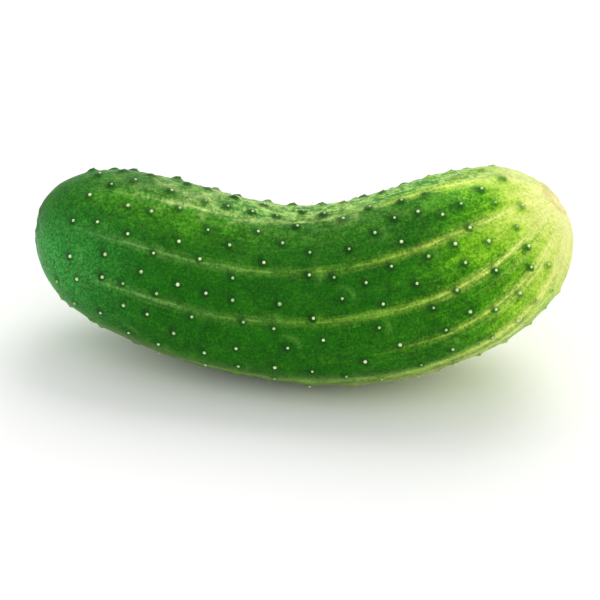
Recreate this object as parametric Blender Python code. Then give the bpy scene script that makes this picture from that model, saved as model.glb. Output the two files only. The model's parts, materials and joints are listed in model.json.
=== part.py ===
"""A curved cucumber, lying on its belly with both ends a little off the table.

The fruit is one closed body. A core line bends in a leaning plane, a rounded three-sided
section is swept along it, and low knobs stand on the skin. Metres, +Z up.
"""
import math
import random

import bmesh
import bpy
import numpy as np

MM = 0.001

# ---- driving dimensions -------------------------------------------------------------
CORE_LENGTH = 145.6 * MM     # along the core line, tip to tip
MID_RADIUS = 22.9 * MM       # mean radius half way along
TAPER = 0.16                 # the blossom half is fuller than the stem half by this share
SHOULDERS = 0.30             # how much fuller the shoulders are than the waist
STEM_BLUNTNESS = 3.56        # a higher number gives a squarer end
BLOSSOM_BLUNTNESS = 2.35

TILT = -2.1                  # heading of the core line at mid length, degrees
BEND = 48.8                  # how fast the heading turns there, degrees per half length
BEND_DRIFT = 13.0            # the bend is a little stronger towards the blossom end
BEND_RELAX = -29.4           # and eases off towards both tips

LOBE_HEIGHT = 0.065          # the three soft corners of the section, share of the radius
LOBE_ANGLE = 29.0            # the front upper corner, degrees from the hollow side
BELLY_FLAT = 0.035           # the side that lay on the soil is pressed in by this share
BELLY_ANGLE = 209.5          # where that side is, degrees from the hollow side

PLANE_LEAN = 32.0            # the plane of the bend leans back from upright, degrees
REST_ROLL = 1.0              # small turns that bring the fruit to rest on its belly
REST_PITCH = -4.3

STEM_SCAR_RADIUS = 4.2 * MM  # where the stalk came away
STEM_SCAR_DEPTH = 1.3 * MM
BLOSSOM_SCAR_RADIUS = 3.2 * MM
BLOSSOM_SCAR_DEPTH = 0.7 * MM

KNOB_COUNT = 320
KNOB_SPACING = 5.0 * MM      # no two knobs stand closer than this
KNOB_RADIUS = 1.6 * MM       # typical, at the skin
KNOB_HEIGHT = 0.8 * MM
KNOB_HOLLOW_GAIN = 0.5       # knobs of the hollow side are larger by this share
KNOB_SEED = 8
KNOB_FREE_TIP = 0.86         # the tips outside this share of the half length are smooth

RINGS = 60                   # stations along the fruit
SIDES = 52                   # corners round the fruit


# ---- the smooth skin ----------------------------------------------------------------
def core_table(steps=800):
    """Points and headings of the core line, in its own plane."""
    u = np.linspace(0.0, 1.0, steps + 1)
    w = 2.0 * u - 1.0
    heading = np.radians(TILT + BEND * w + BEND_DRIFT * w ** 2 + BEND_RELAX * w ** 3)
    ds = CORE_LENGTH / steps
    mid = 0.5 * (heading[1:] + heading[:-1])
    along = np.concatenate([[0.0], np.cumsum(np.cos(mid) * ds)])
    up = np.concatenate([[0.0], np.cumsum(np.sin(mid) * ds)])
    return u, along, up, heading


CORE = core_table()


def girth(u):
    """Mean radius at u, 0 at the stem tip and 1 at the blossom tip."""
    w = 2.0 * u - 1.0
    full = MID_RADIUS * (1.0 + TAPER * w + SHOULDERS * w * w)
    blunt = np.where(w < 0.0, STEM_BLUNTNESS, BLOSSOM_BLUNTNESS)
    return full * np.sqrt(np.maximum(1.0 - np.abs(w) ** blunt, 0.0))


def section(theta):
    """Share of the mean radius at an angle; 0 is the hollow side, 90 degrees the front."""
    lobes = LOBE_HEIGHT * np.cos(3.0 * (theta - math.radians(LOBE_ANGLE)))
    belly = np.maximum(np.cos(theta - math.radians(BELLY_ANGLE)), 0.0) ** 4
    return 1.0 + lobes - BELLY_FLAT * belly


def scar(radius, u):
    """How far the tips are sunk, along the core line towards the middle."""
    stem = np.clip(1.0 - (radius / STEM_SCAR_RADIUS) ** 2, 0.0, 1.0) ** 2
    blossom = np.clip(1.0 - (radius / BLOSSOM_SCAR_RADIUS) ** 2, 0.0, 1.0) ** 2
    return np.where(u < 0.5, STEM_SCAR_DEPTH * stem, -BLOSSOM_SCAR_DEPTH * blossom)


def skin(u, theta):
    """Points of the smooth skin in the fruit's own axes: along, towards the front, up."""
    u = np.asarray(u, float)
    theta = np.asarray(theta, float)
    x = np.interp(u, CORE[0], CORE[1])
    z = np.interp(u, CORE[0], CORE[2])
    heading = np.interp(u, CORE[0], CORE[3])
    r = girth(u) * section(theta)
    sink = scar(r, u)
    x = x - r * np.cos(theta) * np.sin(heading) + sink * np.cos(heading)
    z = z + r * np.cos(theta) * np.cos(heading) + sink * np.sin(heading)
    y = -r * np.sin(theta)
    return np.stack([x, y, z], axis=-1)


def outward(u, theta):
    """Unit normals of the smooth skin."""
    step = 1e-4
    along = skin(u + step, theta) - skin(u - step, theta)
    around = skin(u, theta + step) - skin(u, theta - step)
    normal = np.cross(around, along)
    return normal / np.linalg.norm(normal, axis=-1, keepdims=True)


# ---- the knobs ----------------------------------------------------------------------
def station(i):
    """Stations crowd towards the tips, where the fruit closes."""
    return 0.5 * (1.0 - math.cos(math.pi * i / RINGS))


def scatter_knobs():
    """Knobs as (ring, side, u, theta, radius, height), one to a patch of skin."""
    dice = random.Random(KNOB_SEED)
    knobs = []
    places = []
    for attempt in range(40 * KNOB_COUNT):
        if len(knobs) == KNOB_COUNT:
            break
        ring = dice.randrange(1, RINGS - 1)
        side = dice.randrange(SIDES)
        u = station(ring + 0.5 + dice.uniform(-0.3, 0.3))
        theta = 2.0 * math.pi * (side + 0.5 + dice.uniform(-0.3, 0.3)) / SIDES
        size = dice.uniform(0.72, 1.18)
        chance = dice.random()
        if abs(2.0 * u - 1.0) > KNOB_FREE_TIP:
            continue
        hollow = max(math.cos(theta), 0.0) ** 2
        if chance > 0.55 + 0.45 * hollow:
            continue
        place = skin(u, theta)
        spacing = KNOB_SPACING * (1.0 + 0.35 * (1.0 - hollow) * chance)
        if any(np.linalg.norm(place - other) < spacing for other in places):
            continue
        if any(abs(ring - k[0]) < 2 and (side - k[1] + 1) % SIDES < 3 for k in knobs):
            continue
        size *= 1.0 + KNOB_HOLLOW_GAIN * hollow
        knobs.append((ring, side, u, theta, KNOB_RADIUS * size, KNOB_HEIGHT * size))
        places.append(place)
    return knobs


def knob_corners(u, theta, half, height):
    """A square of skin round a knob's centre, lifted by height."""
    along = np.linalg.norm(skin(u + 1e-3, theta) - skin(u - 1e-3, theta)) / 2e-3
    around = np.linalg.norm(skin(u, theta + 1e-3) - skin(u, theta - 1e-3)) / 2e-3
    du = half / along
    dt = half / around
    us = np.array([u - du, u + du, u + du, u - du])
    ts = np.array([theta - dt, theta - dt, theta + dt, theta + dt])
    return skin(us, ts) + height * outward(np.full(4, u), np.full(4, theta))


# ---- the body -----------------------------------------------------------------------
def build_mesh():
    mesh = bmesh.new()
    rings = []
    thetas = 2.0 * math.pi * np.arange(SIDES) / SIDES
    for i in range(1, RINGS):
        points = skin(np.full(SIDES, station(i)), thetas)
        rings.append([mesh.verts.new(p) for p in points])
    knobs = scatter_knobs()
    taken = {(k[0], k[1]): k for k in knobs}

    for i in range(1, RINGS - 1):
        near, far = rings[i - 1], rings[i]
        for j in range(SIDES):
            nxt = (j + 1) % SIDES
            corners = [near[j], far[j], far[nxt], near[nxt]]
            knob = taken.get((i, j))
            if knob is None:
                mesh.faces.new(corners)
                continue
            u, theta, radius, height = knob[2:]
            reach = min(0.8 * radius, 1.6 * MM)
            for vert, place in zip(corners, knob_corners(u, theta, reach, 0.0)):
                vert.co = place
            raised = knob_corners(u, theta, 0.55 * reach, 0.8 * height)
            shoulder = [mesh.verts.new(p) for p in raised]
            top = mesh.verts.new(skin(u, theta) + height * outward(u, theta))
            for a in range(4):
                b = (a + 1) % 4
                mesh.faces.new([corners[a], corners[b], shoulder[b], shoulder[a]])
                mesh.faces.new([shoulder[a], shoulder[b], top])

    for ring, u, order in ((rings[0], 0.0, 1), (rings[-1], 1.0, -1)):
        tip = mesh.verts.new(skin(u, 0.0))
        for j in range(SIDES):
            mesh.faces.new([tip, ring[j], ring[(j + 1) % SIDES]][::order])
    bmesh.ops.recalc_face_normals(mesh, faces=mesh.faces[:])
    bmesh.ops.triangulate(mesh, faces=mesh.faces[:])
    return mesh, len(knobs)


def to_rest(points):
    """Lean the bend's plane back, apply the small resting turns and stand it on z = 0."""
    lean = -math.radians(PLANE_LEAN + REST_ROLL)
    pitch = math.radians(REST_PITCH)
    turn_x = np.array([[1, 0, 0],
                       [0, math.cos(lean), -math.sin(lean)],
                       [0, math.sin(lean), math.cos(lean)]])
    turn_y = np.array([[math.cos(pitch), 0, math.sin(pitch)],
                       [0, 1, 0],
                       [-math.sin(pitch), 0, math.cos(pitch)]])
    turned = points @ (turn_y @ turn_x).T
    low = turned.min(axis=0)
    high = turned.max(axis=0)
    middle = 0.5 * (low + high)
    return turned - np.array([middle[0], middle[1], low[2]])


def skin_material():
    material = bpy.data.materials.new("cucumber_skin")
    material.use_nodes = True
    shader = material.node_tree.nodes["Principled BSDF"]
    shader.inputs["Base Color"].default_value = (0.045, 0.16, 0.018, 1.0)
    shader.inputs["Roughness"].default_value = 0.42
    return material


for old in list(bpy.data.objects):
    bpy.data.objects.remove(old, do_unlink=True)

body, knob_total = build_mesh()
rest = to_rest(np.array([v.co[:] for v in body.verts]))
for vert, place in zip(body.verts, rest):
    vert.co = place
data = bpy.data.meshes.new("cucumber")
body.to_mesh(data)
body.free()
data.materials.append(skin_material())
cucumber = bpy.data.objects.new("cucumber", data)
bpy.context.scene.collection.objects.link(cucumber)

size = rest.max(axis=0) - rest.min(axis=0)
print("cucumber %.1f x %.1f x %.1f mm, %d knobs, %d triangles" % (
    size[0] * 1000, size[1] * 1000, size[2] * 1000, knob_total, len(data.polygons)))
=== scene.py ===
# %% [markdown]
# # A curved cucumber
#
# One short, knobbly cucumber lies on its belly with both ends a little off the table.
# A cucumber has no parts to put together, so the whole lesson is about one skin: how it
# closes round a bent core, how the knobs stand on it, and how its greens change from the
# dark stem end to the pale blossom end.
#
# The rough body already exists and fixes the size and the place. Here it gets a fine skin,
# the small cream spines on the knobs, their materials, and a plain studio.

import json
import math
import random

import bmesh
import bpy
import numpy as np
from mathutils import Matrix, Vector, noise
from mathutils.bvhtree import BVHTree
from mathutils.kdtree import KDTree

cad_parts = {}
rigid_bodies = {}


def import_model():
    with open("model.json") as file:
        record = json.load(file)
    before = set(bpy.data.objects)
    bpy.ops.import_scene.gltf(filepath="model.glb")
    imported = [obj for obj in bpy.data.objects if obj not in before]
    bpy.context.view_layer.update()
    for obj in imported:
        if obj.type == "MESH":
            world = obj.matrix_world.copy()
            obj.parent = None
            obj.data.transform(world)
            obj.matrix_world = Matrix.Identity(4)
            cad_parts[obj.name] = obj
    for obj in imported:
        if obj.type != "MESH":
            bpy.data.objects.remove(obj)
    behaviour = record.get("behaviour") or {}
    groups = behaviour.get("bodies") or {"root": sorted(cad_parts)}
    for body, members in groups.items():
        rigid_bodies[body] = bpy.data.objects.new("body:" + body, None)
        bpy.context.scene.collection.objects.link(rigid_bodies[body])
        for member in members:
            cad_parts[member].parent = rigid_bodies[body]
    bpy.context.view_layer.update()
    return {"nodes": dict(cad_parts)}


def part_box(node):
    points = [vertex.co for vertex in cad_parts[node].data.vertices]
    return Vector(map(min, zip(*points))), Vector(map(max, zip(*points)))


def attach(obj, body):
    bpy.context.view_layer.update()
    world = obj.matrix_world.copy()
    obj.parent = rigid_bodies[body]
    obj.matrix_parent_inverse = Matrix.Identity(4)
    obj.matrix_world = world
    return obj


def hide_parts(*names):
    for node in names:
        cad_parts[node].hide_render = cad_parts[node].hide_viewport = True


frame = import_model()
low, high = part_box("cucumber")
MM = 0.001
print("rough body:", [round(1000 * (b - a), 1) for a, b in zip(low, high)], "mm")

# %% [markdown]
# ## How the fruit grew
#
# A cucumber grows from the stalk outward. One side grows a little slower, so the core line
# bends towards it: that is the hollow side. The fruit could be drawn by hand as a subdivided
# box, but a few growth numbers say the same thing and stay easy to change: the length of the
# core line, the radius along it, how fast its heading turns, and a section with three soft
# corners, because the fruit has three seed chambers. They are the rough body's own numbers,
# so the fine skin lies where the rough one does.

# %% Growth numbers
CORE_LENGTH = 145.6 * MM   # tip to tip along the core line
MID_RADIUS = 22.9 * MM     # mean radius half way along
TAPER = 0.16               # the blossom half is fuller by this share
SHOULDERS = 0.30           # and the shoulders are fuller than the waist
STEM_BLUNTNESS = 3.56      # a higher number gives a squarer end
BLOSSOM_BLUNTNESS = 2.35

# degrees: heading of the core line at mid length, how fast it turns, how the turn changes
TILT, BEND, BEND_DRIFT, BEND_RELAX = -2.1, 48.8, 13.0, -29.4

# the three soft corners, and the belly that the soil pressed flat; angles from the hollow side
LOBE_HEIGHT, LOBE_ANGLE = 0.065, 29.0
BELLY_FLAT, BELLY_ANGLE = 0.035, 209.5

# degrees: how the fruit comes to rest
PLANE_LEAN, REST_ROLL, REST_PITCH = 32.0, 1.0, -4.3

STEM_SCAR_RADIUS, STEM_SCAR_DEPTH = 4.2 * MM, 1.3 * MM
BLOSSOM_SCAR_RADIUS, BLOSSOM_SCAR_DEPTH = 3.2 * MM, 0.7 * MM
print("core line %.1f mm long" % (CORE_LENGTH / MM))


# %% The core line, the girth and the section
def core_table(steps=800):
    u = np.linspace(0.0, 1.0, steps + 1)
    w = 2.0 * u - 1.0
    heading = np.radians(TILT + BEND * w + BEND_DRIFT * w ** 2 + BEND_RELAX * w ** 3)
    step = CORE_LENGTH / steps
    mid = 0.5 * (heading[1:] + heading[:-1])
    along = np.concatenate([[0.0], np.cumsum(np.cos(mid) * step)])
    up = np.concatenate([[0.0], np.cumsum(np.sin(mid) * step)])
    return u, along, up, heading


CORE = core_table()


def girth(u):
    w = 2.0 * u - 1.0
    full = MID_RADIUS * (1.0 + TAPER * w + SHOULDERS * w * w)
    blunt = np.where(w < 0.0, STEM_BLUNTNESS, BLOSSOM_BLUNTNESS)
    return full * np.sqrt(np.maximum(1.0 - np.abs(w) ** blunt, 0.0))


def section(theta):
    lobes = LOBE_HEIGHT * np.cos(3.0 * (theta - math.radians(LOBE_ANGLE)))
    belly = np.maximum(np.cos(theta - math.radians(BELLY_ANGLE)), 0.0) ** 4
    return 1.0 + lobes - BELLY_FLAT * belly


def scar_sink(radius, u):
    stem = np.clip(1.0 - (radius / STEM_SCAR_RADIUS) ** 2, 0.0, 1.0) ** 2
    blossom = np.clip(1.0 - (radius / BLOSSOM_SCAR_RADIUS) ** 2, 0.0, 1.0) ** 2
    return np.where(u < 0.5, STEM_SCAR_DEPTH * stem, -BLOSSOM_SCAR_DEPTH * blossom)


def skin_point(u, theta):
    u = np.asarray(u, float)
    theta = np.asarray(theta, float)
    heading = np.interp(u, CORE[0], CORE[3])
    r = girth(u) * section(theta)
    sink = scar_sink(r, u)
    x = np.interp(u, CORE[0], CORE[1]) - r * np.cos(theta) * np.sin(heading)
    z = np.interp(u, CORE[0], CORE[2]) + r * np.cos(theta) * np.cos(heading)
    x = x + sink * np.cos(heading)
    z = z + sink * np.sin(heading)
    return np.stack([x, -r * np.sin(theta), z], axis=-1)


def skin_normal(u, theta):
    step = 1e-4
    along = skin_point(u + step, theta) - skin_point(u - step, theta)
    around = skin_point(u, theta + step) - skin_point(u, theta - step)
    normal = np.cross(around, along)
    return normal / np.linalg.norm(normal, axis=-1, keepdims=True)


print("core turns from %.0f to %.0f degrees" % tuple(np.degrees(CORE[3][[0, -1]])))
print("thickest radius %.1f mm" % (1000 * girth(np.linspace(0, 1, 400)).max()))

# %% [markdown]
# ## Where the knobs stand
#
# The knobs are scattered, but never on top of each other: each keeps a few millimetres of
# skin for itself, and the slow hollow side carries more and bigger ones. Dice with a fixed
# seed drop them one by one, and a knob that lands too near another is thrown again. The
# tips stay smooth. The rules and the seed are those of the rough body, so both carry the
# same knobs in the same places.

# %% Scatter the knobs
KNOB_COUNT, KNOB_SEED = 320, 8
KNOB_SPACING, KNOB_RADIUS, KNOB_HEIGHT = 5.0 * MM, 1.6 * MM, 0.8 * MM
KNOB_HOLLOW_GAIN = 0.5
KNOB_FREE_TIP = 0.86
RINGS, SIDES = 60, 52


def station(i):
    return 0.5 * (1.0 - math.cos(math.pi * i / RINGS))


def scatter_knobs():
    dice = random.Random(KNOB_SEED)
    knobs, cells, places = [], [], []
    for attempt in range(40 * KNOB_COUNT):
        if len(knobs) == KNOB_COUNT:
            break
        ring, side = dice.randrange(1, RINGS - 1), dice.randrange(SIDES)
        u = station(ring + 0.5 + dice.uniform(-0.3, 0.3))
        theta = 2.0 * math.pi * (side + 0.5 + dice.uniform(-0.3, 0.3)) / SIDES
        size, chance = dice.uniform(0.72, 1.18), dice.random()
        hollow = max(math.cos(theta), 0.0) ** 2
        if abs(2.0 * u - 1.0) > KNOB_FREE_TIP or chance > 0.55 + 0.45 * hollow:
            continue
        place = skin_point(u, theta)
        spacing = KNOB_SPACING * (1.0 + 0.35 * (1.0 - hollow) * chance)
        if any(np.linalg.norm(place - other) < spacing for other in places):
            continue
        if any(abs(ring - r) < 2 and (side - s + 1) % SIDES < 3 for r, s in cells):
            continue
        knobs.append((u, theta, size * (1.0 + KNOB_HOLLOW_GAIN * hollow)))
        cells.append((ring, side))
        places.append(place)
    return np.array(knobs)


KNOBS = scatter_knobs()
largest = 2 * KNOBS[:, 2].max() * KNOB_RADIUS / MM
print(len(KNOBS), "knobs, the largest %.1f mm across" % largest)

# %% [markdown]
# ## A fine grid for the skin
#
# The skin is one grid of quads: rings along the fruit, corners round it. To show a knob as a
# round thing and not as a pyramid, a quad should be under half a millimetre. Equal steps of
# u would leave stretched quads where the tips close, so the rings are spaced by the real
# distance walked over the skin from tip to tip.

# %% Lay out the grid
RING_COUNT = 318
CORNER_COUNT = 300


def even_rings(count):
    u = 0.5 * (1.0 - np.cos(np.linspace(0.0, math.pi, 4000)))
    walk = skin_point(u, np.full_like(u, 1.2))
    travelled = np.concatenate([[0.0], np.cumsum(np.linalg.norm(np.diff(walk, axis=0), axis=1))])
    return np.interp(np.linspace(0.0, travelled[-1], count + 2)[1:-1], travelled, u)


ring_u = even_rings(RING_COUNT)
corner_theta = 2.0 * math.pi * np.arange(CORNER_COUNT) / CORNER_COUNT
U, THETA = np.meshgrid(ring_u, corner_theta, indexing="ij")
U, THETA = U.ravel(), THETA.ravel()
smooth = skin_point(U, THETA)
outward = skin_normal(U, THETA)
quad = np.linalg.norm(np.diff(skin_point(ring_u, np.full_like(ring_u, 1.2)), axis=0), axis=1)
print(len(U), "skin points, rings %.2f mm apart" % (1000 * quad.mean()))

# %% [markdown]
# ## Which way the veins run
#
# Colour on a cucumber follows the veins under the skin. They do not run straight along the
# fruit: from the stem to mid length they turn a little round it, and at the blossom end
# they meet in the scar, which sits a few millimetres off the tip, on the upper front.
# `vein_angle` is the angle that stays the same along one vein, and `vein_radius` the
# distance from the middle of the bundle.

# %% Follow the veins
VEIN_TWIST = 14.0
SCAR_SHIFT, SCAR_BEARING = 6.0 * MM, 65.0


def smoothstep(x, a, b):
    t = np.clip((x - a) / (b - a), 0.0, 1.0)
    return t * t * (3.0 - 2.0 * t)


def bell(distance, width):
    """1 in the middle, down to about a third at the given width, then nothing."""
    return np.exp(-(distance / width) ** 2)


def between(x, rise_from, rise_to, fall_from, fall_to):
    """1 between two soft edges, 0 outside them."""
    return smoothstep(x, rise_from, rise_to) * (1.0 - smoothstep(x, fall_from, fall_to))


def follow_veins(u, theta):
    shift = SCAR_SHIFT * smoothstep(u, 0.7, 1.0)
    bearing = math.radians(SCAR_BEARING)
    x = girth(u) * np.cos(theta) - shift * math.cos(bearing)
    y = girth(u) * np.sin(theta) - shift * math.sin(bearing)
    twist = math.radians(VEIN_TWIST) * (1.0 - smoothstep(u, 0.0, 0.7))
    return np.arctan2(y, x) - twist, np.hypot(x, y)


vein_angle, vein_radius = follow_veins(U, THETA)
print("scar centre is %.1f mm off the tip" % (SCAR_SHIFT / MM))

# %% [markdown]
# ## The stripes
#
# Pale stripes lie over the larger veins. They are set as vein angles, hollow side 0, front
# 90. Each has a width, a strength and a share of the length where it starts to show: the
# large ones begin near the stem, thin ones between them only where the fruit is riper, and
# the two beside the hollow side come at mid length and fade early. All of them widen
# towards the blossom end. For each skin point the script stores how far inside a stripe it
# is, in millimetres; outside, the number is negative. The material can then fray the edge
# with noise and lay a soft halo round it, which a painted mask cannot do.

# %% Measure the distance into the nearest stripe
BAND_EDGE = 0.55  # the two stripes beside the hollow side start here
STRIPES = [  # vein angle, half width at mid length in mm, strength, where it starts to show
    (36.0, 0.10, 1.0, BAND_EDGE), (74.0, 0.08, 1.0, 0.02), (90.0, 0.02, 0.4, 0.78),
    (107.0, 0.08, 1.0, 0.02), (117.0, 0.02, 0.5, 0.76), (131.0, 0.02, 0.9, 0.58),
    (136.0, 0.00, 0.9, 0.72), (153.0, 0.5, 1.0, 0.25), (163.0, 0.45, 0.8, 0.60),
    (188.0, 0.15, 0.9, 0.05), (205.0, 0.02, 0.6, 0.70), (222.0, 0.12, 0.9, 0.05),
    (240.0, 0.02, 0.6, 0.75), (258.0, 0.12, 0.9, 0.05), (275.0, 0.02, 0.6, 0.76),
    (293.0, 0.10, 0.9, 0.05), (328.0, 0.12, 0.9, BAND_EDGE),
]
STRIPE_SWAY = 0.55 * MM  # stripes wander sideways by up to this
STRIPE_START = 0.18      # and gain their strength over this share of the length


def wander(points, size, seed):
    """Soft noise from -1 to 1 with lumps of the given size, at each point."""
    shift = Vector((11.3 * seed, 5.7 * seed, 3.1 * seed))
    return np.array([noise.noise(Vector(p) / size + shift) for p in points])


sway = STRIPE_SWAY * wander(smooth, 24 * MM, 1)
growing = 0.85 + 0.25 * smoothstep(U, 0.2, 0.7) + 0.5 * smoothstep(U, 0.72, 0.95)
showing = 0.55 + 0.45 * smoothstep(U, 0.05, 0.6)
stripe_inside = np.full(len(U), -20.0)
stripe_gain = np.zeros(len(U))
for angle, width, strength, start in STRIPES:
    off = (vein_angle - math.radians(angle) + math.pi) % (2.0 * math.pi) - math.pi
    inside = width * growing - np.abs(off * vein_radius + sway) / MM
    gain = strength * smoothstep(U, start, start + STRIPE_START) * showing
    if start == BAND_EDGE:
        gain = gain * (1.0 - 0.7 * smoothstep(U, 0.83, 0.90))
    nearer = inside > stripe_inside
    stripe_inside = np.where(nearer, inside, stripe_inside)
    stripe_gain = np.where(nearer, gain, stripe_gain)
print("striped share of the skin: %.0f%%" % (100 * (stripe_inside > 0).mean()))

# %% [markdown]
# ## The relief
#
# The skin is lifted and sunk by parts of a millimetre: by the knobs, each on a low swelling,
# by small crescent folds beside some of them, by shallow furrows along the stripes, by
# creases and wrinkles where the hollow side is squeezed, by a slow unevenness that keeps the
# highlights from looking machined, and by the scars at the two ends. A bump map would shade
# all this but leave the outline as smooth as plastic, so the mesh moves. First each knob
# gets its own directions: up from the skin, towards the blossom tip, and down the flank.

# %% Directions at each knob
knob_place = skin_point(KNOBS[:, 0], KNOBS[:, 1])
knob_up = skin_normal(KNOBS[:, 0], KNOBS[:, 1])
knob_tipward = (skin_point(KNOBS[:, 0] + 1e-3, KNOBS[:, 1])
                - skin_point(KNOBS[:, 0] - 1e-3, KNOBS[:, 1]))
knob_tipward /= np.linalg.norm(knob_tipward, axis=1, keepdims=True)
knob_side = np.cross(knob_up, knob_tipward)
knob_down = -np.sign(np.sin(KNOBS[:, 1]))[:, None] * knob_side
hollow_share = np.clip(np.cos(KNOBS[:, 1]), 0.0, 1.0) ** 2
belly_share = np.clip(np.cos(KNOBS[:, 1] - math.radians(BELLY_ANGLE)), 0.0, 1.0) ** 2
print((hollow_share > 0.5).sum(), "knobs in the hollow,", (belly_share > 0.5).sum(), "on the belly")

# %% [markdown]
# No two knobs are alike. Those of the belly stand highest; those of the hollow side are
# large too, but flatten towards the blossom end. Dice choose which knobs have a fold beside
# them, on which side and how strong, and how dark the green and the painted shade round
# each knob are. On the belly there is hardly any of it.

# %% The character of each knob
dice = random.Random(31)
fold_turn = np.array([dice.gauss(0.5, 0.9) for _ in KNOBS])
fold_strength = np.array([
    dice.uniform(0.4, 1.0) * (dice.random() < 0.30 + 0.5 * share) for share in hollow_share])

standing = 0.46 + 0.26 * hollow_share + 0.54 * belly_share ** 2
standing *= 1.0 - 0.30 * hollow_share * smoothstep(KNOBS[:, 0], 0.5, 0.7)

dice = random.Random(77)
darkness = np.array([dice.uniform(0.6, 1.0) for _ in KNOBS])
darkness *= 1.0 - 0.2 * smoothstep(KNOBS[:, 0], 0.65, 0.92)
darkness *= 1.0 - 0.85 * smoothstep(belly_share, 0.05, 0.45) - 0.05 * hollow_share
print((fold_strength > 0).sum(), "knobs have a fold beside them")

# %% [markdown]
# A knob is a rounded dome on a wide, low swelling. A search tree finds the skin points that
# lie close to it, so the script need not look at all of them for each knob. Over so short a
# way the straight distance is as good as the one walked over the skin.

# %% Raise the knobs and their folds
REACH = 6.5 * MM         # a knob is felt this far over the skin
WIDEST_KNOB = 1.7 * MM   # no knob has a larger radius
FOLD_AWAY = 1.9          # a fold lies this many radii from its knob
FOLD_WIDTH = 0.55 * MM
skin_finder = KDTree(len(smooth))
for i, point in enumerate(smooth):
    skin_finder.insert(point, i)
skin_finder.balance()

lift, fold = np.zeros(len(U)), np.zeros(len(U))
around = []  # for each knob: the skin points near it, where they lie and how far away
for k, (u, theta, size) in enumerate(KNOBS):
    near = np.array([i for _, i, _ in skin_finder.find_range(knob_place[k], REACH)])
    offset = smooth[near] - knob_place[k]
    away = np.linalg.norm(offset, axis=1)
    around.append((near, offset, away))
    radius, height = min(KNOB_RADIUS * size, WIDEST_KNOB), KNOB_HEIGHT * size
    dome = np.clip(1.0 - (away / radius) ** 2, 0.0, 1.0) ** 1.3
    swelling = bell(away, (1.7 + 0.7 * belly_share[k]) * radius)
    swelling *= 0.20 + 0.22 * belly_share[k]
    lift[near] += height * standing[k] * (0.82 * dome + swelling)
    bearing = np.arctan2(offset @ knob_side[k], offset @ knob_tipward[k]) - fold_turn[k]
    crescent = bell(away - FOLD_AWAY * radius, FOLD_WIDTH)
    crescent *= np.clip(np.cos(bearing), 0.0, 1.0) ** 2
    lift[near] += (0.13 + 0.10 * hollow_share[k]) * MM * fold_strength[k] * crescent
    fold[near] = np.maximum(fold[near], fold_strength[k] * crescent)
print("highest knob %.2f mm" % (1000 * lift.max()))

# %% [markdown]
# The skin round a knob stays darker than the rest. A narrow dark ring lies close to the
# spine, wider in the hollow: partly the knob's own darker green, partly painted shade round
# the spine's foot. A soft patch of painted shade, in the same dark green, lies on the knob's
# upper, stem side. A broader, weaker mark says where the skin ripens late.

# %% Mark the green and the painted shade round the knobs
RING_START = 0.70        # mm from the middle of the knob, where the ring starts to fade
LATE_PATCH = 1.9 * MM    # size of the patch that ripens late
knob_dark_and_shade, knob_green = np.zeros(len(U)), np.zeros(len(U))
for k, (u, theta, size) in enumerate(KNOBS):
    near, offset, away = around[k]
    radius = min(KNOB_RADIUS * size, WIDEST_KNOB)
    ring_edge = 1.35 + 0.60 * hollow_share[k] - 0.20 * smoothstep(u, 0.65, 0.9)
    ring = 0.95 * (1.0 - smoothstep(away / MM, RING_START, ring_edge))
    # painted shade: a soft dark patch on the knob's upper, stem side
    shade_patch = np.linalg.norm(offset + 0.50 * MM * (knob_tipward[k] + knob_down[k]), axis=1)
    ring = np.maximum(ring, bell(shade_patch, 0.75 * MM + 0.22 * radius))
    knob_dark_and_shade[near] = np.maximum(knob_dark_and_shade[near], darkness[k] * ring)
    late = bell(np.linalg.norm(offset + 0.6 * MM * knob_tipward[k], axis=1), LATE_PATCH)
    knob_green[near] = np.maximum(knob_green[near], darkness[k] * late)
print("dark green on %.0f%% of the skin" % (100 * (knob_dark_and_shade > 0.5).mean()))

# %% [markdown]
# Furrows follow the stripes. The rest is noise with a real size: lumps of two centimetres
# and of six millimetres all over, and two finer kinds on the hollow side. Read at places
# that are squeezed across the fruit, noise gives folds that run round it; read at places
# shortened along the fruit, it gives long wrinkles, here the thin lines where it is zero.

# %% Furrows, creases, wrinkles and slow unevenness
FURROW_DEPTH, FURROW_WIDTH = 0.16 * MM, 1.6  # the width in mm
hollow = np.clip(np.cos(THETA), 0.0, 1.0) ** 1.5
lift -= FURROW_DEPTH * bell(np.minimum(stripe_inside, 0.0), FURROW_WIDTH) * smoothstep(U, 0.0, 0.15)
lift += 0.42 * MM * wander(smooth, 19 * MM, 2)
lift += (0.12 + 0.13 * hollow) * MM * wander(smooth, 6.5 * MM, 3)
squeezed = smooth * np.array([1.0, 0.45, 0.45])
lift += 0.22 * MM * hollow * smoothstep(U, 0.15, 0.3) * wander(squeezed, 2.2 * MM, 4)

turned_deg = np.degrees((vein_angle + math.pi) % (2.0 * math.pi) - math.pi)
hollow_zone = between(turned_deg, -44.0, -30.0, 36.0, 50.0)
shortened = smooth * np.array([0.5, 1.0, 1.0])
wrinkle = hollow_zone * bell(wander(shortened, 5.5 * MM, 40), 0.13)
lift += 0.12 * MM * wrinkle * smoothstep(U, 0.06, 0.2)
wrinkled = (wrinkle[hollow_zone > 0.5] > 0.5).mean()
print("wrinkled share of the hollow side: %.0f%%" % (100 * wrinkled))

# %% [markdown]
# The stem scar has a lip, small puckers round it, where the stalk pulled the skin together,
# and a rough corky floor. The blossom scar is a shallow pit with a soft rim.

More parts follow.
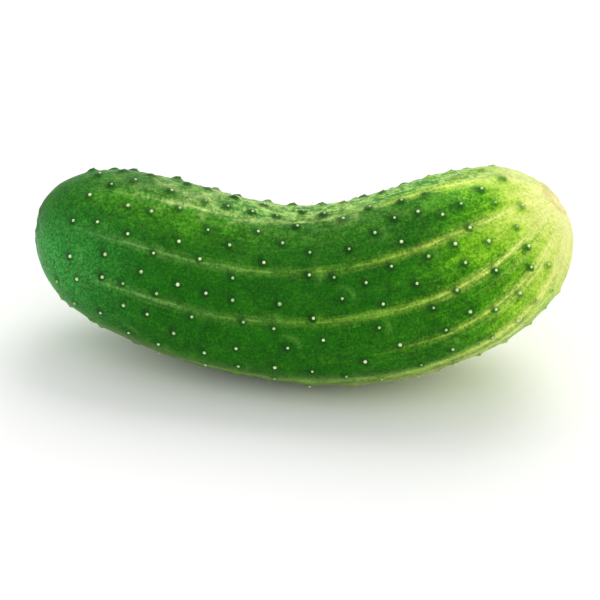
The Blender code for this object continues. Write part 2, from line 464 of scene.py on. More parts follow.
# %% The two scars
from_axis = girth(U) / MM
lip = bell(from_axis - 4.5, 0.9)
puckers = np.cos(9.0 * THETA + 2.0 * wander(smooth, 6 * MM, 7)) * bell(from_axis - 6.8, 2.2)
corky = (from_axis < 4.2) * wander(smooth, 0.9 * MM, 8)
stem_relief = 0.30 * lip + 0.20 * puckers + 0.25 * corky
pit = bell(vein_radius, 2.2 * MM) - 0.5 * bell(vein_radius / MM - 4.2, 0.9)
lift += MM * np.where(U < 0.5, stem_relief, -0.45 * pit)
fine_skin = smooth + outward * lift[:, None]
print("relief from %.2f to %.2f mm" % (1000 * lift.min(), 1000 * lift.max()))

# %% [markdown]
# ## Down on the table
#
# The grid is still in growth axes, with the bend upright. The plane of the bend leans back,
# two small turns bring the fruit to rest on four knobs of its belly, and the skin is set
# down in the box of the rough body.

# %% Turn the skin to rest
def turn_matrix():
    lean = Matrix.Rotation(-math.radians(PLANE_LEAN + REST_ROLL), 3, "X")
    pitch = Matrix.Rotation(math.radians(REST_PITCH), 3, "Y")
    return np.array(pitch @ lean)


TURN = turn_matrix()
tips = skin_point(np.array([0.0, 1.0]), np.array([0.0, 0.0]))
turned = np.vstack([fine_skin, tips]) @ TURN.T
found_low, found_high = turned.min(axis=0), turned.max(axis=0)
SHIFT = np.array([
    0.5 * (low.x + high.x) - 0.5 * (found_low[0] + found_high[0]),
    0.5 * (low.y + high.y) - 0.5 * (found_low[1] + found_high[1]),
    low.z - found_low[2],
])


def to_table(points):
    return points @ TURN.T + SHIFT


placed = turned + SHIFT
print("fine skin box:", np.round(1000 * (found_high - found_low), 1), "mm")

# %% [markdown]
# ## The skin as a mesh
#
# Each ring is joined to the next by quads, and a fan of triangles closes each tip. The flat
# map that goes with it is the same grid laid out: length to the right, girth upward.

# %% Build the mesh
def skin_mesh(points):
    rings, corners = RING_COUNT, CORNER_COUNT
    stem_tip, blossom_tip = rings * corners, rings * corners + 1
    faces, flat = [], []
    for i in range(rings - 1):
        near, far = (i + 1) / (rings + 1), (i + 2) / (rings + 1)
        here, there = i * corners, (i + 1) * corners
        for j in range(corners):
            n = (j + 1) % corners
            faces.append((here + j, here + n, there + n, there + j))
            a, b = j / corners, (j + 1) / corners
            flat.extend([(near, a), (near, b), (far, b), (far, a)])
    for j in range(corners):
        n = (j + 1) % corners
        a, b, m = j / corners, (j + 1) / corners, (j + 0.5) / corners
        faces.append((stem_tip, n, j))
        flat.extend([(0.0, m), (1 / (rings + 1), b), (1 / (rings + 1), a)])
        last = (rings - 1) * corners
        faces.append((blossom_tip, last + j, last + n))
        flat.extend([(1.0, m), (rings / (rings + 1), a), (rings / (rings + 1), b)])
    mesh = bpy.data.meshes.new("cucumber_skin")
    mesh.from_pydata(points.tolist(), [], faces)
    mesh.uv_layers.new(name="OFBake").data.foreach_set("uv", np.array(flat).ravel())
    mesh.polygons.foreach_set("use_smooth", np.ones(len(faces), bool))
    mesh.update()
    return mesh


skin_data = skin_mesh(placed)
middle = Vector((0, 0, 0.028))  # a point in the flesh; nearly all faces should look away from it
inside_out = sum(p.normal.dot(p.center - middle) < 0 for p in skin_data.polygons)
print(len(skin_data.polygons), "faces,", inside_out, "look inward")
if inside_out > len(skin_data.polygons) / 2:
    skin_data.flip_normals()
skin = bpy.data.objects.new("skin", skin_data)
bpy.context.scene.collection.objects.link(skin)

# %% [markdown]
# How well does the fine skin lie on the rough body? The distance from a sample of its points
# to the nearest point of the rough one says so.

# %% Measure the gap to the rough body
rough = frame["nodes"]["cucumber"].data
rough.calc_loop_triangles()
rough_tree = BVHTree.FromPolygons(
    [v.co for v in rough.vertices], [t.vertices for t in rough.loop_triangles])
gaps = np.array([rough_tree.find_nearest(Vector(p))[3] for p in placed[::37]]) / MM
print("gap to the rough body: mean %.2f mm, worst %.2f mm" % (gaps.mean(), gaps.max()))

# %% [markdown]
# ## What the material needs to know
#
# The colour of a cucumber follows its growth: how near the blossom end, how deep in a
# stripe, how close to a knob, on the soil side or in the hollow. Some marks say instead
# where light is painted: sheen and highlights on the hollow side, shade round the knobs and a
# reflection over the stem end. These are measured here, point by point, and stored on the
# mesh under plain names. The material reads them back.
#
# Ripeness comes first. It creeps along the fruit and climbs fast near the blossom end. It
# lags in tongues between the veins and round the knobs. It runs ahead on the hollow side,
# and near the stem in a fresh green strip on each flank of it.

# %% Ripeness, from 0 for dark green to 1 for cream
RIPENING = [  # share of the length, ripeness
    (0.0, 0.0), (0.5, 0.02), (0.6, 0.05), (0.7, 0.12), (0.8, 0.46),
    (0.85, 0.60), (0.9, 0.79), (0.94, 0.89), (0.97, 0.97), (1.0, 1.02),
]
ripeness = np.interp(U, *zip(*RIPENING))
band_edge = 4.0 * smoothstep(U, 0.40, 0.55)
band = smoothstep(turned_deg, -36.0, -26.0) * (1.0 - smoothstep(turned_deg + band_edge, 32.0, 42.0))
tongues = vein_angle - math.radians(58.0)
tongues = 0.5 * (1.0 + np.cos(6.0 * tongues)) * (0.75 + 0.25 * np.cos(tongues))
tongues *= 1.0 - 0.7 * band
ripeness -= 0.24 * tongues * between(U, 0.62, 0.82, 0.86, 0.97)
ripeness -= 0.42 * knob_green * smoothstep(U, 0.7, 0.95)
ripeness += 0.26 * band * smoothstep(U, 0.72, 0.82) * (1.0 - 0.6 * smoothstep(U, 0.84, 0.92))
fresh = bell(turned_deg - 44.0, 18.0) + bell(turned_deg + 40.0, 18.0)
ripeness += 0.22 * fresh * between(U, 0.04, 0.14, 0.32, 0.55)
print("ripe share of the skin: %.0f%%" % (100 * (ripeness > 0.5).mean()))

# %% [markdown]
# The hollow side is pale, with a weak skirt on both flanks, and it darkens towards the stem:
# partly its own paler green, partly painted sheen from the light above. Painted highlights
# lie on the crests of its wrinkles and along four lines that run along it: two at its edges
# and two weaker ones between.

# %% The pale hollow side, its painted sheen and painted highlights
skirt = between(turned_deg, -70.0, -30.0, 35.0, 75.0)
# the pale hollow side: its own paler green plus painted sheen from the light above
pale_band_and_sheen = (0.86 * band + 0.14 * skirt) * (0.14 + 0.74 * smoothstep(U, 0.12, 0.5))
pale_band_and_sheen *= smoothstep(U, 0.0, 0.12) * (1.0 - 0.7 * smoothstep(U, 0.85, 0.97))
# painted highlights: four pale lines along the hollow side
HIGHLIGHT_LINES = [  # vein angle and half width in degrees, strength
    (-30.0, 1.4, 1.0), (-8.0, 1.0, 0.4), (14.0, 1.0, 0.5), (37.0, 1.4, 1.0),
]
# painted highlights on the wrinkle crests and along the four lines
hollow_highlights = 0.6 * wrinkle
for i, (edge, width, strength) in enumerate(HIGHLIGHT_LINES):
    edge_sway = 3.0 * wander(smooth, 8 * MM, 20 + i) + 1.5 * wander(smooth, 3 * MM, 30 + i)
    hollow_highlights = np.maximum(hollow_highlights, strength * bell(turned_deg + edge_sway - edge, width))
hollow_highlights *= between(U, 0.10, 0.26, 0.60, 0.80)
print("creases:", len(HIGHLIGHT_LINES))

# %% [markdown]
# The belly, which lay on the soil, is paler towards the blossom end. A bluish painted
# reflection lies over the stem end, except in the hollow. The two scars are given as
# distances from their centres, in millimetres.

# %% Soil side, painted reflection and scars
FAR = 50.0
soil_side = smoothstep(np.cos(THETA - math.radians(BELLY_ANGLE)), 0.40, 0.85)
soil_side *= (0.25 + 0.75 * smoothstep(U, 0.4, 0.8)) * (1.0 - smoothstep(U, 0.86, 0.97))
# a bluish painted reflection over the stem end, except in the hollow
painted_reflection = (1.0 - smoothstep(U, 0.0, 0.32)) ** 1.5
painted_reflection *= 0.15 + 0.85 * smoothstep(np.abs(turned_deg), 40.0, 110.0)
stem_mark = np.minimum(np.where(U < 0.5, girth(U) / MM, FAR), FAR)
blossom_mark = np.minimum(np.where(U > 0.5, vein_radius / MM, FAR), FAR)
print("scars begin %.1f and %.1f mm from their centres" % (stem_mark.min(), blossom_mark.min()))

# %% [markdown]
# Each mark becomes one number at each point of the mesh. An image painted on the skin could
# hold the same, but it would blur when it is looked at closely. The points at the two tips
# come last in the mesh, so their values are given apart.

# %% Store the marks on the mesh
MARKS = [  # name, value at each skin point, at the stem tip and at the blossom tip
    ("ripeness", ripeness, 0.0, 1.05), ("stripe_inside", stripe_inside, 0.0, 2.0),
    ("stripe_gain", stripe_gain, 0.3, 1.0), ("knob_dark_and_shade", knob_dark_and_shade, 0.0, 0.0),
    ("fold", fold, 0.0, 0.0), ("pale_band_and_sheen", pale_band_and_sheen, 0.0, 0.0), ("hollow_highlights", hollow_highlights, 0.0, 0.0),
    ("soil_side", soil_side, 0.0, 0.0), ("painted_reflection", painted_reflection, 0.7, 0.0), ("along", U, 0.0, 1.0),
    ("stem_mark", stem_mark, 0.0, FAR), ("blossom_mark", blossom_mark, FAR, SCAR_SHIFT / MM),
]
for name, values, at_stem, at_blossom in MARKS:
    stored = skin_data.attributes.new(name, "FLOAT", "POINT")
    everywhere = np.append(values, [at_stem, at_blossom])
    stored.data.foreach_set("value", everywhere.astype(np.float32))
    print("%-14s %6.2f to %5.2f" % (name, values.min(), values.max()))

# %% [markdown]
# One more mark is a place instead of a number: the vein's direction round the fruit, and the
# length shrunk to a fourteenth. Noise read at this place comes out as fine streaks along the
# veins, about fourteen times longer than wide.

# %% Store the streak places
STREAK_SHRINK = 0.07
tip_angles, _ = follow_veins(np.array([0.0, 1.0]), np.array([0.0, 0.0]))
all_angles = np.concatenate([vein_angle, tip_angles])
all_lengths = np.concatenate([U, [0.0, 1.0]]) * CORE_LENGTH
streaks = np.stack([
    MID_RADIUS * np.cos(all_angles), MID_RADIUS * np.sin(all_angles), STREAK_SHRINK * all_lengths,
], axis=1)
streak_mark = skin_data.attributes.new("streak_place", "FLOAT_VECTOR", "POINT")
streak_mark.data.foreach_set("vector", streaks.astype(np.float32).ravel())
print("streak places for", len(streaks), "points")

# %% [markdown]
# ## The spines
#
# On each knob sits the stub of a soft spine, a cream bead under a millimetre across. It
# stands a little off the middle, to the upper blossom side. The beads are made as one mesh
# of small domes: rings that close to a tip, and a foot sunk in the knob. Each bead keeps its
# own shade, and is greener at the foot.

# %% The shape of a bead
BEAD_RADIUS, BEAD_HEIGHT, BEAD_CORNERS = 0.50 * MM, 0.36 * MM, 10
BEAD_ROWS = [  # share of the radius, share of the height, how much paler
    (1.0, -0.55, -0.45), (1.0, 0.0, -0.40), (0.9, 0.45, -0.20), (0.62, 0.8, 0.0),
    (0.28, 0.97, 0.10),
]
BEAD_TIP, BEAD_FOOT = (1.02, 0.12), (-0.6, -0.45)  # share of the height, how much paler


def add_bead(mesh, shade_layer, centre, axes, scale, shade):
    """A small dome; the axes point to the blossom tip, sideways and up from the skin."""
    radius, height = BEAD_RADIUS * scale, BEAD_HEIGHT * scale
    tipward, sideways, upward = axes
    turns = 2.0 * math.pi * np.arange(BEAD_CORNERS) / BEAD_CORNERS
    rows = []
    for wide, tall, paler in BEAD_ROWS:
        ring = [radius * wide * (math.cos(t) * tipward + math.sin(t) * sideways) for t in turns]
        rows.append([mesh.verts.new(centre + out + height * tall * upward) for out in ring])
        for vert in rows[-1]:
            vert[shade_layer] = shade + paler
    caps = []
    for tall, paler in (BEAD_TIP, BEAD_FOOT):
        caps.append(mesh.verts.new(centre + height * tall * upward))
        caps[-1][shade_layer] = shade + paler
    for j in range(BEAD_CORNERS):
        n = (j + 1) % BEAD_CORNERS
        for near, far in zip(rows[:-1], rows[1:]):
            mesh.faces.new([near[j], near[n], far[n], far[j]])
        mesh.faces.new([rows[-1][j], rows[-1][n], caps[0]])
        mesh.faces.new([rows[0][n], rows[0][j], caps[1]])


print("a full bead is %.1f mm wide and %.2f mm high" % (2 * BEAD_RADIUS / MM, BEAD_HEIGHT / MM))

# %% [markdown]
# Beads are smaller in the hollow and on the belly, and greener in the hollow. The few that
# would touch the table have been rubbed off.

# %% Set a bead on each knob
BEAD_SUNK = 0.05 * MM
bead_mesh = bmesh.new()
bead_shade = bead_mesh.verts.layers.float.new("bead_shade")
dice = random.Random(5)
rubbed_off = 0
for k, (u, theta, size) in enumerate(KNOBS):
    scale = (0.75 + 0.25 * size) * dice.uniform(0.78, 1.1)
    scale *= 1.0 - 0.35 * hollow_share[k] - 0.45 * belly_share[k]
    shade = dice.uniform(0.25, 1.0) * (1.0 - 0.6 * hollow_share[k])
    spot = knob_place[k] + 0.15 * KNOB_RADIUS * size * (knob_tipward[k] - knob_down[k])
    _, nearest, _ = skin_finder.find(spot)
    centre = to_table(spot + knob_up[k] * (lift[nearest] - BEAD_SUNK))
    if centre[2] < 1.2 * BEAD_HEIGHT:
        rubbed_off += 1
        continue
    axes = [TURN @ knob_tipward[k], TURN @ knob_side[k], TURN @ knob_up[k]]
    add_bead(bead_mesh, bead_shade, centre, axes, scale, shade)
bmesh.ops.recalc_face_normals(bead_mesh, faces=bead_mesh.faces[:])
bead_data = bpy.data.meshes.new("spine_beads")
bead_mesh.to_mesh(bead_data)
bead_mesh.free()
bead_data.polygons.foreach_set("use_smooth", np.ones(len(bead_data.polygons), bool))
beads = bpy.data.objects.new("spine_beads", bead_data)
bpy.context.scene.collection.objects.link(beads)
print(len(KNOBS) - rubbed_off, "beads with", len(bead_data.polygons), "faces,", rubbed_off, "rubbed off")

# %% [markdown]
# ## Small helpers for materials
#
# Node trees get long, so small helpers keep them readable. `plug` feeds a socket with a
# number, a colour or another socket. `calc`, `product` and `total` reckon, `remap` is a soft
# step from one range to another, `blend` mixes two colours, `ramp` is a row of colours, and
# `scaled` makes a colour brighter or darker. `mark` reads a mark that was stored on the mesh.
# Colours are given the way a paint chart gives them, 0 to 255, and `paint` turns them into
# the linear values that the renderer works with. `net` is the node tree of the material.

# %% Colours and sockets
def paint(red, green, blue):
    def linear(c):
        c /= 255.0
        return c / 12.92 if c <= 0.04045 else ((c + 0.055) / 1.055) ** 2.4
    return (linear(red), linear(green), linear(blue), 1.0)


def plug(net, socket, value):
    if isinstance(value, bpy.types.NodeSocket):
        net.links.new(value, socket)
    else:
        socket.default_value = value


def mark(net, name, output="Fac"):
    node = net.nodes.new("ShaderNodeAttribute")
    node.attribute_name = name
    return node.outputs[output]


print("middle grey is %.3f in linear light" % paint(128, 128, 128)[0])


# %% Reckoning with nodes
def calc(net, operation, a, b=0.0, clamp=False):
    node = net.nodes.new("ShaderNodeMath")
    node.operation = operation
    node.use_clamp = clamp
    plug(net, node.inputs[0], a)
    plug(net, node.inputs[1], b)
    return node.outputs[0]


def product(net, *values):
    result = values[0]
    for value in values[1:]:
        result = calc(net, "MULTIPLY", result, value)
    return result


def total(net, *values):
    result = values[0]
    for value in values[1:]:
        result = calc(net, "ADD", result, value)
    return result


def push(net, value, amount):
    """A mottle, which lies around 0.5, as a push up or down of the given size."""
    return product(net, calc(net, "SUBTRACT", value, 0.5), amount)


def remap(net, value, from_low, from_high, to_low=0.0, to_high=1.0):
    node = net.nodes.new("ShaderNodeMapRange")
    node.interpolation_type = "SMOOTHSTEP"
    plug(net, node.inputs["Value"], value)
    for name, number in zip(("From Min", "From Max", "To Min", "To Max"),
                            (from_low, from_high, to_low, to_high)):
        plug(net, node.inputs[name], number)
    return node.outputs["Result"]


print("five helpers that reckon")


# %% Mixing colours with nodes
def blend(net, share, first, second):
    node = net.nodes.new("ShaderNodeMix")
    node.data_type = "RGBA"
    plug(net, node.inputs["Factor"], share)
    plug(net, node.inputs["A"], first)
    plug(net, node.inputs["B"], second)
    return node.outputs["Result"]


def ramp(net, value, stops):
    node = net.nodes.new("ShaderNodeValToRGB")
    plug(net, node.inputs["Fac"], value)
    row = node.color_ramp
    while len(row.elements) < len(stops):
        row.elements.new(0.5)
    for element, (place, colour) in zip(row.elements, stops):
        element.position = place
        element.color = colour
    return node.outputs["Color"]


def scaled(net, colour, factor):
    node = net.nodes.new("ShaderNodeVectorMath")
    node.operation = "SCALE"
    plug(net, node.inputs[0], colour)
    plug(net, node.inputs["Scale"], factor)
    return node.outputs["Vector"]


print("three helpers that mix")

# %% [markdown]
# ## Mottle, a pattern for anything grown
#
# Living skin is never one colour: cells, pores and wax make a grain at several sizes at
# once. Both the skin and the spines use it, so it is a node group with its lump size as an
# input. It puts out one value around 0.5.

# %% The mottle group
def mottle_group():
    group = bpy.data.node_groups.new("Mottle", "ShaderNodeTree")
    group.interface.new_socket("Place", in_out="INPUT", socket_type="NodeSocketVector")
    group.interface.new_socket("Lumps per metre", in_out="INPUT", socket_type="NodeSocketFloat")
    group.interface.new_socket("Detail", in_out="INPUT", socket_type="NodeSocketFloat")
    group.interface.new_socket("Contrast", in_out="INPUT", socket_type="NodeSocketFloat")
    group.interface.new_socket("Mottle", in_out="OUTPUT", socket_type="NodeSocketFloat")
    entry = group.nodes.new("NodeGroupInput")
    leave = group.nodes.new("NodeGroupOutput")
    grain = group.nodes.new("ShaderNodeTexNoise")
    grain.inputs["Roughness"].default_value = 0.6
    group.links.new(entry.outputs["Place"], grain.inputs["Vector"])
    group.links.new(entry.outputs["Lumps per metre"], grain.inputs["Scale"])
    group.links.new(entry.outputs["Detail"], grain.inputs["Detail"])
    centred = calc(group, "SUBTRACT", grain.outputs["Fac"], 0.5)
    spread = calc(group, "MULTIPLY", centred, entry.outputs["Contrast"])
    group.links.new(calc(group, "ADD", spread, 0.5, clamp=True), leave.inputs["Mottle"])
    return group


MOTTLE = mottle_group()


def mottle(net, place, size_mm, detail=2.0, contrast=1.0):
    node = net.nodes.new("ShaderNodeGroup")
    node.node_tree = MOTTLE
    net.links.new(place, node.inputs["Place"])
    node.inputs["Lumps per metre"].default_value = 1000.0 / size_mm
    node.inputs["Detail"].default_value = detail
    node.inputs["Contrast"].default_value = contrast
    return node.outputs["Mottle"]


def on_object(net):
    return net.nodes.new("ShaderNodeTexCoord").outputs["Object"]


print("mottle group with", len(MOTTLE.nodes), "nodes")

# %% [markdown]
# ## The skin's material
#
# The colour is built up layer by layer: the flesh green, the paler hollow side with painted
# sheen and painted highlights, the stripes, the soil side, a painted reflection over the stem
# end, the folds with painted highlights on their crests, the dark green and painted shade
# round each knob, a grain at several sizes, and last the two scars. All of them are broken
# up by the same few mottles, named by the size of their lumps, so that no edge is drawn with
# a ruler.

# %% Skin: the mottles
skin_material = bpy.data.materials.new("cucumber_skin")
skin_material.use_nodes = True
skin_net = skin_material.node_tree
shader = skin_net.nodes["Principled BSDF"]

solid, veins = on_object(skin_net), mark(skin_net, "streak_place", "Vector")
broad = mottle(skin_net, solid, 20.0, 2.0, 1.6)
blotchy = mottle(skin_net, solid, 7.0, 2.0, 2.0)
patchy = mottle(skin_net, solid, 3.0, 3.0, 1.7)
crumpled = mottle(skin_net, solid, 1.8, 2.0, 1.6)
grainy = mottle(skin_net, solid, 0.75, 2.0, 2.0)
waxy = mottle(skin_net, solid, 0.42, 1.0, 2.0)
fine = mottle(skin_net, solid, 0.38, 1.0, 2.2)
streaky = mottle(skin_net, veins, 0.7, 2.0, 2.0)
broad_streak = mottle(skin_net, veins, 3.0, 2.0, 2.0)
print("nine mottles, lumps from 0.38 to 20 mm")

# %% [markdown]
# The flesh is one row of greens, read by ripeness. The mottles push the ripeness up and down
# a little, so neighbouring spots ripen at different times.

# %% Skin: flesh
ripe = total(skin_net, mark(skin_net, "ripeness"), push(skin_net, patchy, 0.16),
             push(skin_net, grainy, 0.16), push(skin_net, broad, 0.10),
             push(skin_net, streaky, 0.09), push(skin_net, broad_streak, 0.12))
flesh = ramp(skin_net, ripe, [
    (0.00, paint(20, 94, 2)), (0.15, paint(38, 105, 4)), (0.36, paint(70, 145, 8)),
    (0.52, paint(124, 184, 30)), (0.72, paint(176, 214, 70)), (0.90, paint(214, 228, 114)),
    (1.00, paint(232, 236, 152)),
])
print("skin: flesh laid down")

# %% [markdown]
# The hollow side is crumpled: pale and mid greens change within two millimetres, its own
# colour with painted sheen on it. Its painted highlights are paler still. Both leave out the
# dark green and painted shade round the knobs, and so do the stripes and the soil side
# further down: `kept` is the share of the skin that is free for them.

# %% Skin: the hollow side, its painted sheen and painted highlights
kept = calc(skin_net, "SUBTRACT", 1.0, remap(skin_net, mark(skin_net, "knob_dark_and_shade"), 0.1, 0.8))
crumple = total(skin_net, crumpled, push(skin_net, streaky, 0.6), push(skin_net, patchy, 0.6),
                push(skin_net, grainy, 0.4))
band_and_sheen_colour = ramp(skin_net, remap(skin_net, crumple, 0.0, 1.0), [
    (0.1, paint(62, 130, 42)), (0.5, paint(106, 166, 66)), (0.9, paint(164, 202, 108)),
])
# own paler green of the hollow side, with painted sheen
pale_and_sheen_share = product(skin_net, mark(skin_net, "pale_band_and_sheen"), kept)
colour = blend(skin_net, pale_and_sheen_share, flesh, band_and_sheen_colour)
uneven = remap(skin_net, patchy, 0.2, 0.8, 0.3, 1.0)
# painted highlights on the hollow side's lines and wrinkle crests
hollow_highlight_share = product(skin_net, mark(skin_net, "hollow_highlights"), uneven)
colour = blend(skin_net, hollow_highlight_share, colour, paint(180, 208, 118))
print("skin: hollow side laid down")

# %% [markdown]
# A stripe is a thin pale core in a soft halo. The distance into the stripe, frayed by mottle
# and streaks, is read twice: once with a narrow step and once with a wide, weak one, and the
# larger of the two counts. Stripes are dull green near the stem and cream at the blossom end.

# %% Skin: stripes
frayed = total(skin_net, mark(skin_net, "stripe_inside"), push(skin_net, patchy, 0.4),
               push(skin_net, grainy, 0.3), push(skin_net, streaky, 1.3))
halo = remap(skin_net, frayed, -2.2, 0.2, 0.0, 0.42)
core = remap(skin_net, frayed, -0.85, 0.25, 0.0, 0.95)
stripe_share = product(skin_net, calc(skin_net, "MAXIMUM", halo, core),
                       mark(skin_net, "stripe_gain"), kept)
stripe_colour = ramp(skin_net, mark(skin_net, "along"), [
    (0.0, paint(104, 162, 92)), (0.2, paint(118, 166, 84)), (0.5, paint(104, 154, 46)),
    (0.6, paint(110, 158, 46)), (0.7, paint(146, 184, 62)), (0.8, paint(202, 222, 98)),
    (0.9, paint(226, 236, 128)), (1.0, paint(236, 238, 160)),
])
colour = blend(skin_net, stripe_share, colour, stripe_colour)
print("skin: stripes laid down")

# %% [markdown]
# The soil side is yellow where it saw no sun. The painted reflection over the stem end
# covers the flesh unevenly. The folds beside the knobs catch the light on their crests, most
# in the hollow.

# %% Skin: soil side, painted reflection and folds
soil_share = product(skin_net, mark(skin_net, "soil_side"),
                     remap(skin_net, patchy, 0.1, 0.9, 0.4, 0.9), kept)
colour = blend(skin_net, soil_share, colour, paint(220, 234, 136))
# painted reflection over the stem end
reflection_share = product(skin_net, mark(skin_net, "painted_reflection"), remap(skin_net, grainy, 0.1, 0.9, 0.4, 1.0))
colour = blend(skin_net, reflection_share, colour, paint(58, 158, 68))

fold_gain = total(skin_net, 0.3, product(skin_net, mark(skin_net, "pale_band_and_sheen"), 0.35))
fold_share = product(skin_net, mark(skin_net, "fold"), fold_gain)
fold_colour = blend(skin_net, mark(skin_net, "pale_band_and_sheen"),
                    paint(120, 172, 76), paint(176, 208, 120))
colour = blend(skin_net, fold_share, colour, fold_colour)
print("skin: soil side, haze and folds laid down")

# %% [markdown]
# Dark green gathers round the knobs, partly their own colour and partly painted shade; it
# is lighter where the skin is ripe. The grain then brightens and darkens everything by a few
# per cent, less on the cream end, and a fine wax speckle lies on top, strongest in the
# painted reflection over the stem end.

# %% Skin: dark green and painted shade, grain and wax
# dark green round the knobs: part their own colour, part painted shade
dark_and_shade_share = product(skin_net, mark(skin_net, "knob_dark_and_shade"),
                     remap(skin_net, grainy, 0.0, 1.0, 0.65, 0.95))
dark_green_and_shade = blend(skin_net, remap(skin_net, ripe, 0.25, 0.85), paint(6, 48, 10), paint(20, 84, 14))
colour = blend(skin_net, dark_and_shade_share, colour, dark_green_and_shade)

grain = total(skin_net, push(skin_net, grainy, 0.45), push(skin_net, fine, 0.50),
              push(skin_net, patchy, 0.30), push(skin_net, blotchy, 0.35))
grain = product(skin_net, grain, remap(skin_net, ripe, 0.3, 1.0, 1.0, 0.35))
colour = scaled(skin_net, colour, total(skin_net, 1.0, grain))
# the wax speckle is strongest in the painted reflection
wax_and_reflection_gain = total(skin_net, 0.5, product(skin_net, mark(skin_net, "painted_reflection"), 2.0))
wax_share = product(skin_net, remap(skin_net, waxy, 0.55, 0.95, 0.0, 0.06), wax_and_reflection_gain)
colour = blend(skin_net, wax_share, colour, paint(190, 222, 150))
print("skin: dark green, grain and wax laid down")

# %% [markdown]
# The stem scar is corky, in rings of tan and brown, with a dark green edge. The blossom scar
# is a worn tan ring, paler in the middle.

# %% Skin: the two scars
stem_edge = total(skin_net, mark(skin_net, "stem_mark"), push(skin_net, patchy, 1.2),
                  push(skin_net, grainy, 1.0))
colour = blend(skin_net, remap(skin_net, stem_edge, 9.0, 5.0, 0.0, 0.45), colour, paint(24, 92, 28))
cork = ramp(skin_net, product(skin_net, stem_edge, 0.16), [
    (0.00, paint(84, 78, 40)), (0.20, paint(120, 110, 62)), (0.32, paint(190, 182, 128)),
    (0.42, paint(118, 112, 60)), (0.58, paint(176, 178, 118)), (0.72, paint(120, 150, 72)),
    (1.00, paint(60, 120, 50)),
])
cork = scaled(skin_net, cork, total(skin_net, 1.0, push(skin_net, grainy, 0.7)))
colour = blend(skin_net, remap(skin_net, stem_edge, 5.2, 4.0), colour, cork)

scar_edge = total(skin_net, mark(skin_net, "blossom_mark"), push(skin_net, patchy, 2.0))
scar_share = product(skin_net, remap(skin_net, scar_edge, 5.6, 4.4),
                     remap(skin_net, scar_edge, 1.0, 3.0, 0.35, 1.0),
                     remap(skin_net, grainy, 0.3, 0.7, 0.1, 0.75))
colour = blend(skin_net, scar_share, colour, paint(214, 180, 122))
skin_net.links.new(colour, shader.inputs["Base Color"])
print("skin: colour finished")

# %% [markdown]
# Waxy skin is satin: a medium roughness that changes a little from spot to spot, and a weak
# reflection. What is too fine for the mesh, the pores and the small dents, is a bump.

# %% Satin wax and pores
PORE_DEPTH = 0.12 * MM
skin_net.links.new(remap(skin_net, patchy, 0.0, 1.0, 0.34, 0.50), shader.inputs["Roughness"])
shader.inputs["Specular IOR Level"].default_value = 0.08
bump = skin_net.nodes.new("ShaderNodeBump")
bump.inputs["Strength"].default_value = 0.55
bump.inputs["Distance"].default_value = PORE_DEPTH
pores = total(skin_net, product(skin_net, grainy, 0.6), patchy)
skin_net.links.new(pores, bump.inputs["Height"])
skin_net.links.new(bump.outputs["Normal"], shader.inputs["Normal"])
skin_data.materials.append(skin_material)
print("skin material:", len(skin_net.nodes), "nodes")

# %% [markdown]
# ## The spines' material
#
# The beads are dry and matt, cream with a touch of green at the foot. Each got its own shade
# when it was made, so that no two neighbours match.

# %% Spine colour
bead_material = bpy.data.materials.new("spine_bead")
bead_material.use_nodes = True
bead_net = bead_material.node_tree
bead_shader = bead_net.nodes["Principled BSDF"]
dry = on_object(bead_net)
shade = total(bead_net, mark(bead_net, "bead_shade"),
              push(bead_net, mottle(bead_net, dry, 0.4, 1.0, 1.0), 1.0))
bead_colour = ramp(bead_net, shade, [
    (0.0, paint(104, 164, 80)), (0.3, paint(150, 192, 118)), (0.6, paint(196, 220, 156)),
    (1.0, paint(226, 236, 190)),
])
bead_net.links.new(bead_colour, bead_shader.inputs["Base Color"])
matt = remap(bead_net, mottle(bead_net, dry, 0.5, 1.0, 1.0), 0.0, 1.0, 0.5, 0.7)
bead_net.links.new(matt, bead_shader.inputs["Roughness"])
bead_data.materials.append(bead_material)
print("spine material:", len(bead_net.nodes), "nodes")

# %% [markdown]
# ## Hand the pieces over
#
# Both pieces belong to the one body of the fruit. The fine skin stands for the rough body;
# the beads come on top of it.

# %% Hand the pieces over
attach(skin, "root")
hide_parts("cucumber")
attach(beads, "root")
print("handed over:", skin.name, "and", beads.name)

# %% [markdown]
# ## The studio
#
# A plain pale floor, a white surround that gives most of the light, and two soft lamps: one
# above and behind that brightens the hollow side, and a weaker one high in front that keeps
# the greens full. Soft lamps are large and near.

# %% Floor and surround
FLOOR, SURROUND = 3.0, 0.88  # half the floor's width in metres, strength of the surround
floor_mesh = bpy.data.meshes.new("floor")
floor_mesh.from_pydata(
    [(-FLOOR, -FLOOR, 0), (FLOOR, -FLOOR, 0), (FLOOR, FLOOR, 0), (-FLOOR, FLOOR, 0)],
    [], [(0, 1, 2, 3)])
floor = bpy.data.objects.new("floor", floor_mesh)
bpy.context.scene.collection.objects.link(floor)
floor_material = bpy.data.materials.new("floor_paper")
floor_material.use_nodes = True
floor_shader = floor_material.node_tree.nodes["Principled BSDF"]
floor_shader.inputs["Base Color"].default_value = (0.90, 0.90, 0.90, 1.0)
floor_shader.inputs["Roughness"].default_value = 0.9
floor_shader.inputs["Specular IOR Level"].default_value = 0.1
floor_mesh.materials.append(floor_material)

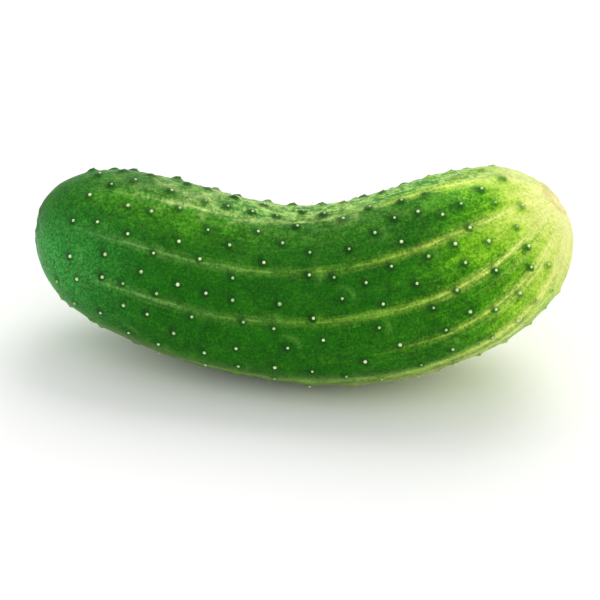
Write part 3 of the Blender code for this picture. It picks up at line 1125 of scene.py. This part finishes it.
world = bpy.data.worlds.new("studio")
world.use_nodes = True
background = world.node_tree.nodes["Background"]
background.inputs["Color"].default_value = (1.0, 1.0, 1.0, 1.0)
background.inputs["Strength"].default_value = SURROUND
bpy.context.scene.world = world
bpy.context.scene.view_settings.view_transform = "Standard"
print("floor and surround ready")


# %% Lamps
def lamp(name, place, aim, size, power, colour):
    data = bpy.data.lights.new(name, "AREA")
    data.shape = "SQUARE"
    data.size = size
    data.energy = power
    data.color = colour
    thing = bpy.data.objects.new(name, data)
    thing.location = place
    thing.rotation_euler = (Vector(aim) - Vector(place)).to_track_quat("-Z", "Y").to_euler()
    bpy.context.scene.collection.objects.link(thing)
    return thing


lamp("back_top", (0.12, 0.40, 0.62), (0.0, 0.0, 0.03), 0.50, 2.3, (1.0, 0.99, 0.95))
lamp("front", (-0.15, -0.55, 0.75), (0.0, 0.0, 0.02), 0.70, 0.9, (1.0, 1.0, 0.98))
print("two lamps")

# %% [markdown]
# ## The camera
#
# A long lens from a little over half a metre, looking down at 31 degrees and rolled by four
# degrees, keeps the two ends in proportion.

# %% Camera
ELEVATION, ROLL = 31.0, 3.9      # degrees
LENS, SENSOR = 127.9, 36.0       # millimetres
CAMERA_AWAY = 0.56               # metres from the point it looks at
AIM = Vector((0.0003, 0.0, 0.0186))
look = Vector((0.0, math.cos(math.radians(ELEVATION)), -math.sin(math.radians(ELEVATION))))
right = Vector((1.0, 0.0, 0.0))
up = right.cross(look)
roll = math.radians(ROLL)
camera_right = right * math.cos(roll) + up * math.sin(roll)
camera_up = up * math.cos(roll) - right * math.sin(roll)
camera_data = bpy.data.cameras.new("camera")
camera_data.lens = LENS
camera_data.sensor_width = SENSOR
camera = bpy.data.objects.new("camera", camera_data)
facing = Matrix((camera_right, camera_up, -look)).transposed().to_4x4()
camera.matrix_world = Matrix.Translation(AIM - look * CAMERA_AWAY) @ facing
bpy.context.scene.collection.objects.link(camera)
bpy.context.scene.camera = camera
print("camera at", [round(v, 3) for v in camera.matrix_world.translation])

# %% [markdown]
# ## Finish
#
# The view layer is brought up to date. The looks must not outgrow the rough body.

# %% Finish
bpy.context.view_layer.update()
